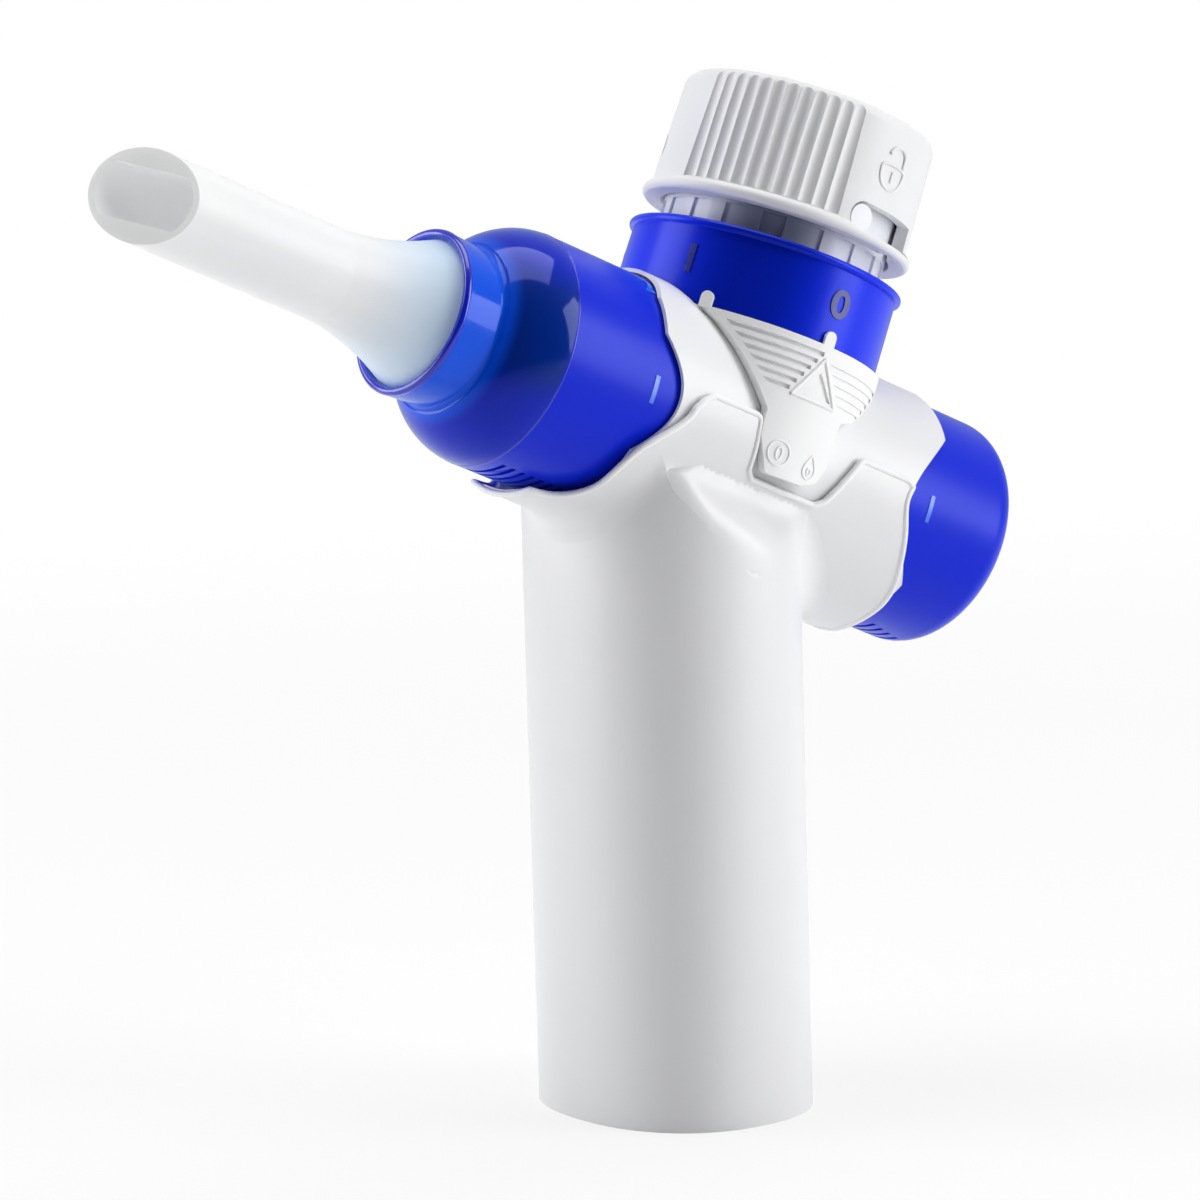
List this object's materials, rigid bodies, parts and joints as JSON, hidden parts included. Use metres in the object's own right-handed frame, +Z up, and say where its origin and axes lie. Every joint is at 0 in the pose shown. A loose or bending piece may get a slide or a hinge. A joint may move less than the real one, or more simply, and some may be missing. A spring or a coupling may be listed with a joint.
{
  "type": "breathing trainer",
  "caption": "Hand-held breathing trainer: oval upright grip carrying a tilted cross tube with a mouthpiece, turning resistance dials and a locking filter cap.",
  "frame": {"origin": "centre of the foot of the grip, on the surface it stands on", "axes": "+Z up along the grip, mouthpiece towards -X, numbered side seen in the picture towards -Y"},
  "size_m": [0.1789, 0.052, 0.1811],
  "materials": {
    "white_abs": "satin white moulded ABS",
    "white_cap": "fine-satin white moulded plastic",
    "blue_clear": "polished see-through royal blue polycarbonate",
    "frosted_clear": "frosted translucent polypropylene",
    "inner_white": "moulded white acetal",
    "silicone": "translucent silicone",
    "black_rubber": "black nitrile rubber",
    "foam": "open grey filter foam",
    "spring_steel": "drawn stainless spring wire",
    "screw_steel": "zinc plated steel"
  },
  "bodies": {
    "body": {"handle_shell": "white_abs", "base_cap": "white_abs", "cradle_screws": "screw_steel", "cross_tube": "white_abs", "index_plate_left": "white_cap", "index_plate_right": "white_cap", "front_port_disc": "inner_white", "front_seal": "black_rubber", "rear_seal": "black_rubber", "exhale_seat": "inner_white", "exhale_spring": "spring_steel", "inhale_seat": "inner_white", "inhale_flap": "silicone", "inlet_filter": "foam", "top_seal": "black_rubber"},
    "front_dial": {"front_dial": "blue_clear"},
    "mouthpiece": {"mouthpiece": "frosted_clear"},
    "rear_dial": {"rear_dial": "blue_clear"},
    "exhale_carriage": {"exhale_carriage": "inner_white"},
    "exhale_disc": {"exhale_disc": "silicone"},
    "top_dial": {"top_dial": "blue_clear"},
    "cap": {"cap": "white_cap", "cap_seal": "silicone"}
  },
  "joints": [
    {"name": "front_dial_turn", "type": "hinge", "parent": "body", "child": "front_dial", "pos_m": [0.0118, 0, 0.1164], "axis": [-0.9171, 0, 0.3987], "range_deg": [0, 240]},
    {"name": "mouthpiece_pull", "type": "slide", "parent": "front_dial", "child": "mouthpiece", "axis": [-0.9171, 0, 0.3987], "range_m": [0, 0.012]},
    {"name": "rear_dial_turn", "type": "hinge", "parent": "body", "child": "rear_dial", "pos_m": [0.0118, 0, 0.1164], "axis": [0.9171, 0, -0.3987], "range_deg": [0, 240]},
    {"name": "exhale_carriage_slide", "type": "slide", "parent": "body", "child": "exhale_carriage", "axis": [-0.9171, 0, 0.3987], "range_m": [0, 0.005], "deforming": ["exhale_spring"]},
    {"name": "exhale_disc_lift", "type": "slide", "parent": "body", "child": "exhale_disc", "axis": [0.9171, 0, -0.3987], "range_m": [0, 0.003], "stiffness_N_per_m": 150, "springref_m": -0.003, "deforming": ["exhale_spring"]},
    {"name": "top_dial_turn", "type": "hinge", "parent": "body", "child": "top_dial", "pos_m": [0.0118, 0, 0.1164], "axis": [0.3987, 0, 0.9171], "range_deg": [0, 204]},
    {"name": "cap_turn", "type": "hinge", "parent": "body", "child": "cap", "pos_m": [0.0118, 0, 0.1164], "axis": [-0.3987, 0, -0.9171], "range_deg": [0, 30]}
  ],
  "couplings": [
    {"joint": "exhale_carriage_slide", "follows": "rear_dial_turn", "m_per_rad": 0.00119}
  ]
}
